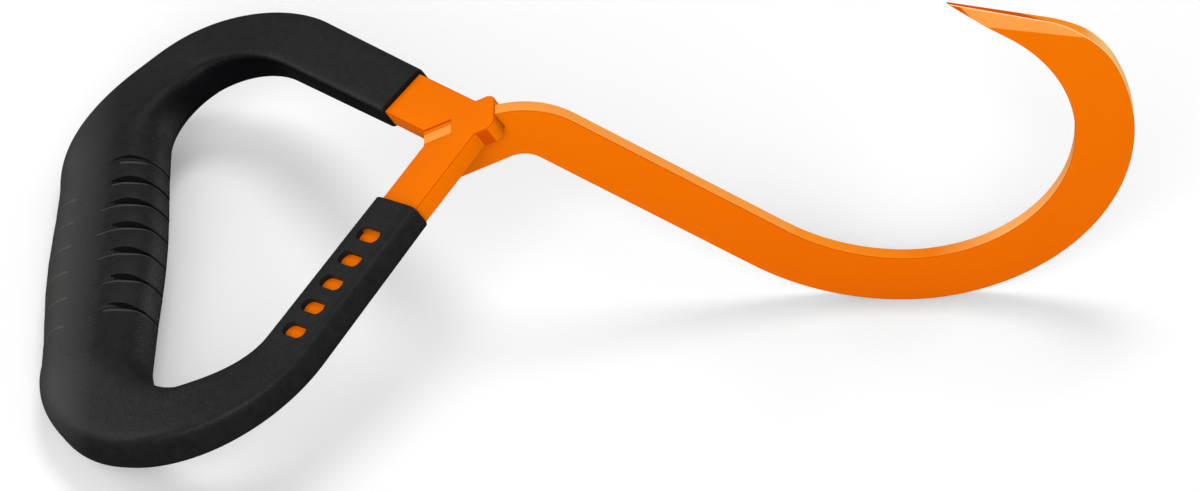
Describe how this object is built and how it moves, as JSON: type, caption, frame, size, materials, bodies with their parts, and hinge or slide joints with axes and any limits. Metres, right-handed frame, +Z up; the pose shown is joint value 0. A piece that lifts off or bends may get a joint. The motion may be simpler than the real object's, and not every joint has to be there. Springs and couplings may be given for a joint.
{
  "type": "hand hook",
  "caption": "Hand-held log hook: flat steel hook with a ground point, joined to a steel D frame with a moulded grip cover.",
  "frame": {"origin": "centre of the bounding box's underside, on the surface that the tool lies on", "axes": "+X along the tool from the grip to the hook, +Y across the grip, +Z up, with the hook's flat plate in the XZ plane"},
  "size_m": [0.3085, 0.168, 0.1122],
  "materials": {
    "hook_paint": "smooth satin orange powder coat",
    "frame_paint": "smooth satin orange powder coat",
    "weld_paint": "orange powder coat over weld metal",
    "grip_plastic": "black, fine matte grain"
  },
  "bodies": {
    "root": {"hook": "hook_paint", "handle_frame": "frame_paint", "grip_cover": "grip_plastic", "near_nose_weld": "weld_paint", "far_nose_weld": "weld_paint", "near_slot_weld": "weld_paint", "far_slot_weld": "weld_paint"}
  },
  "joints": []
}
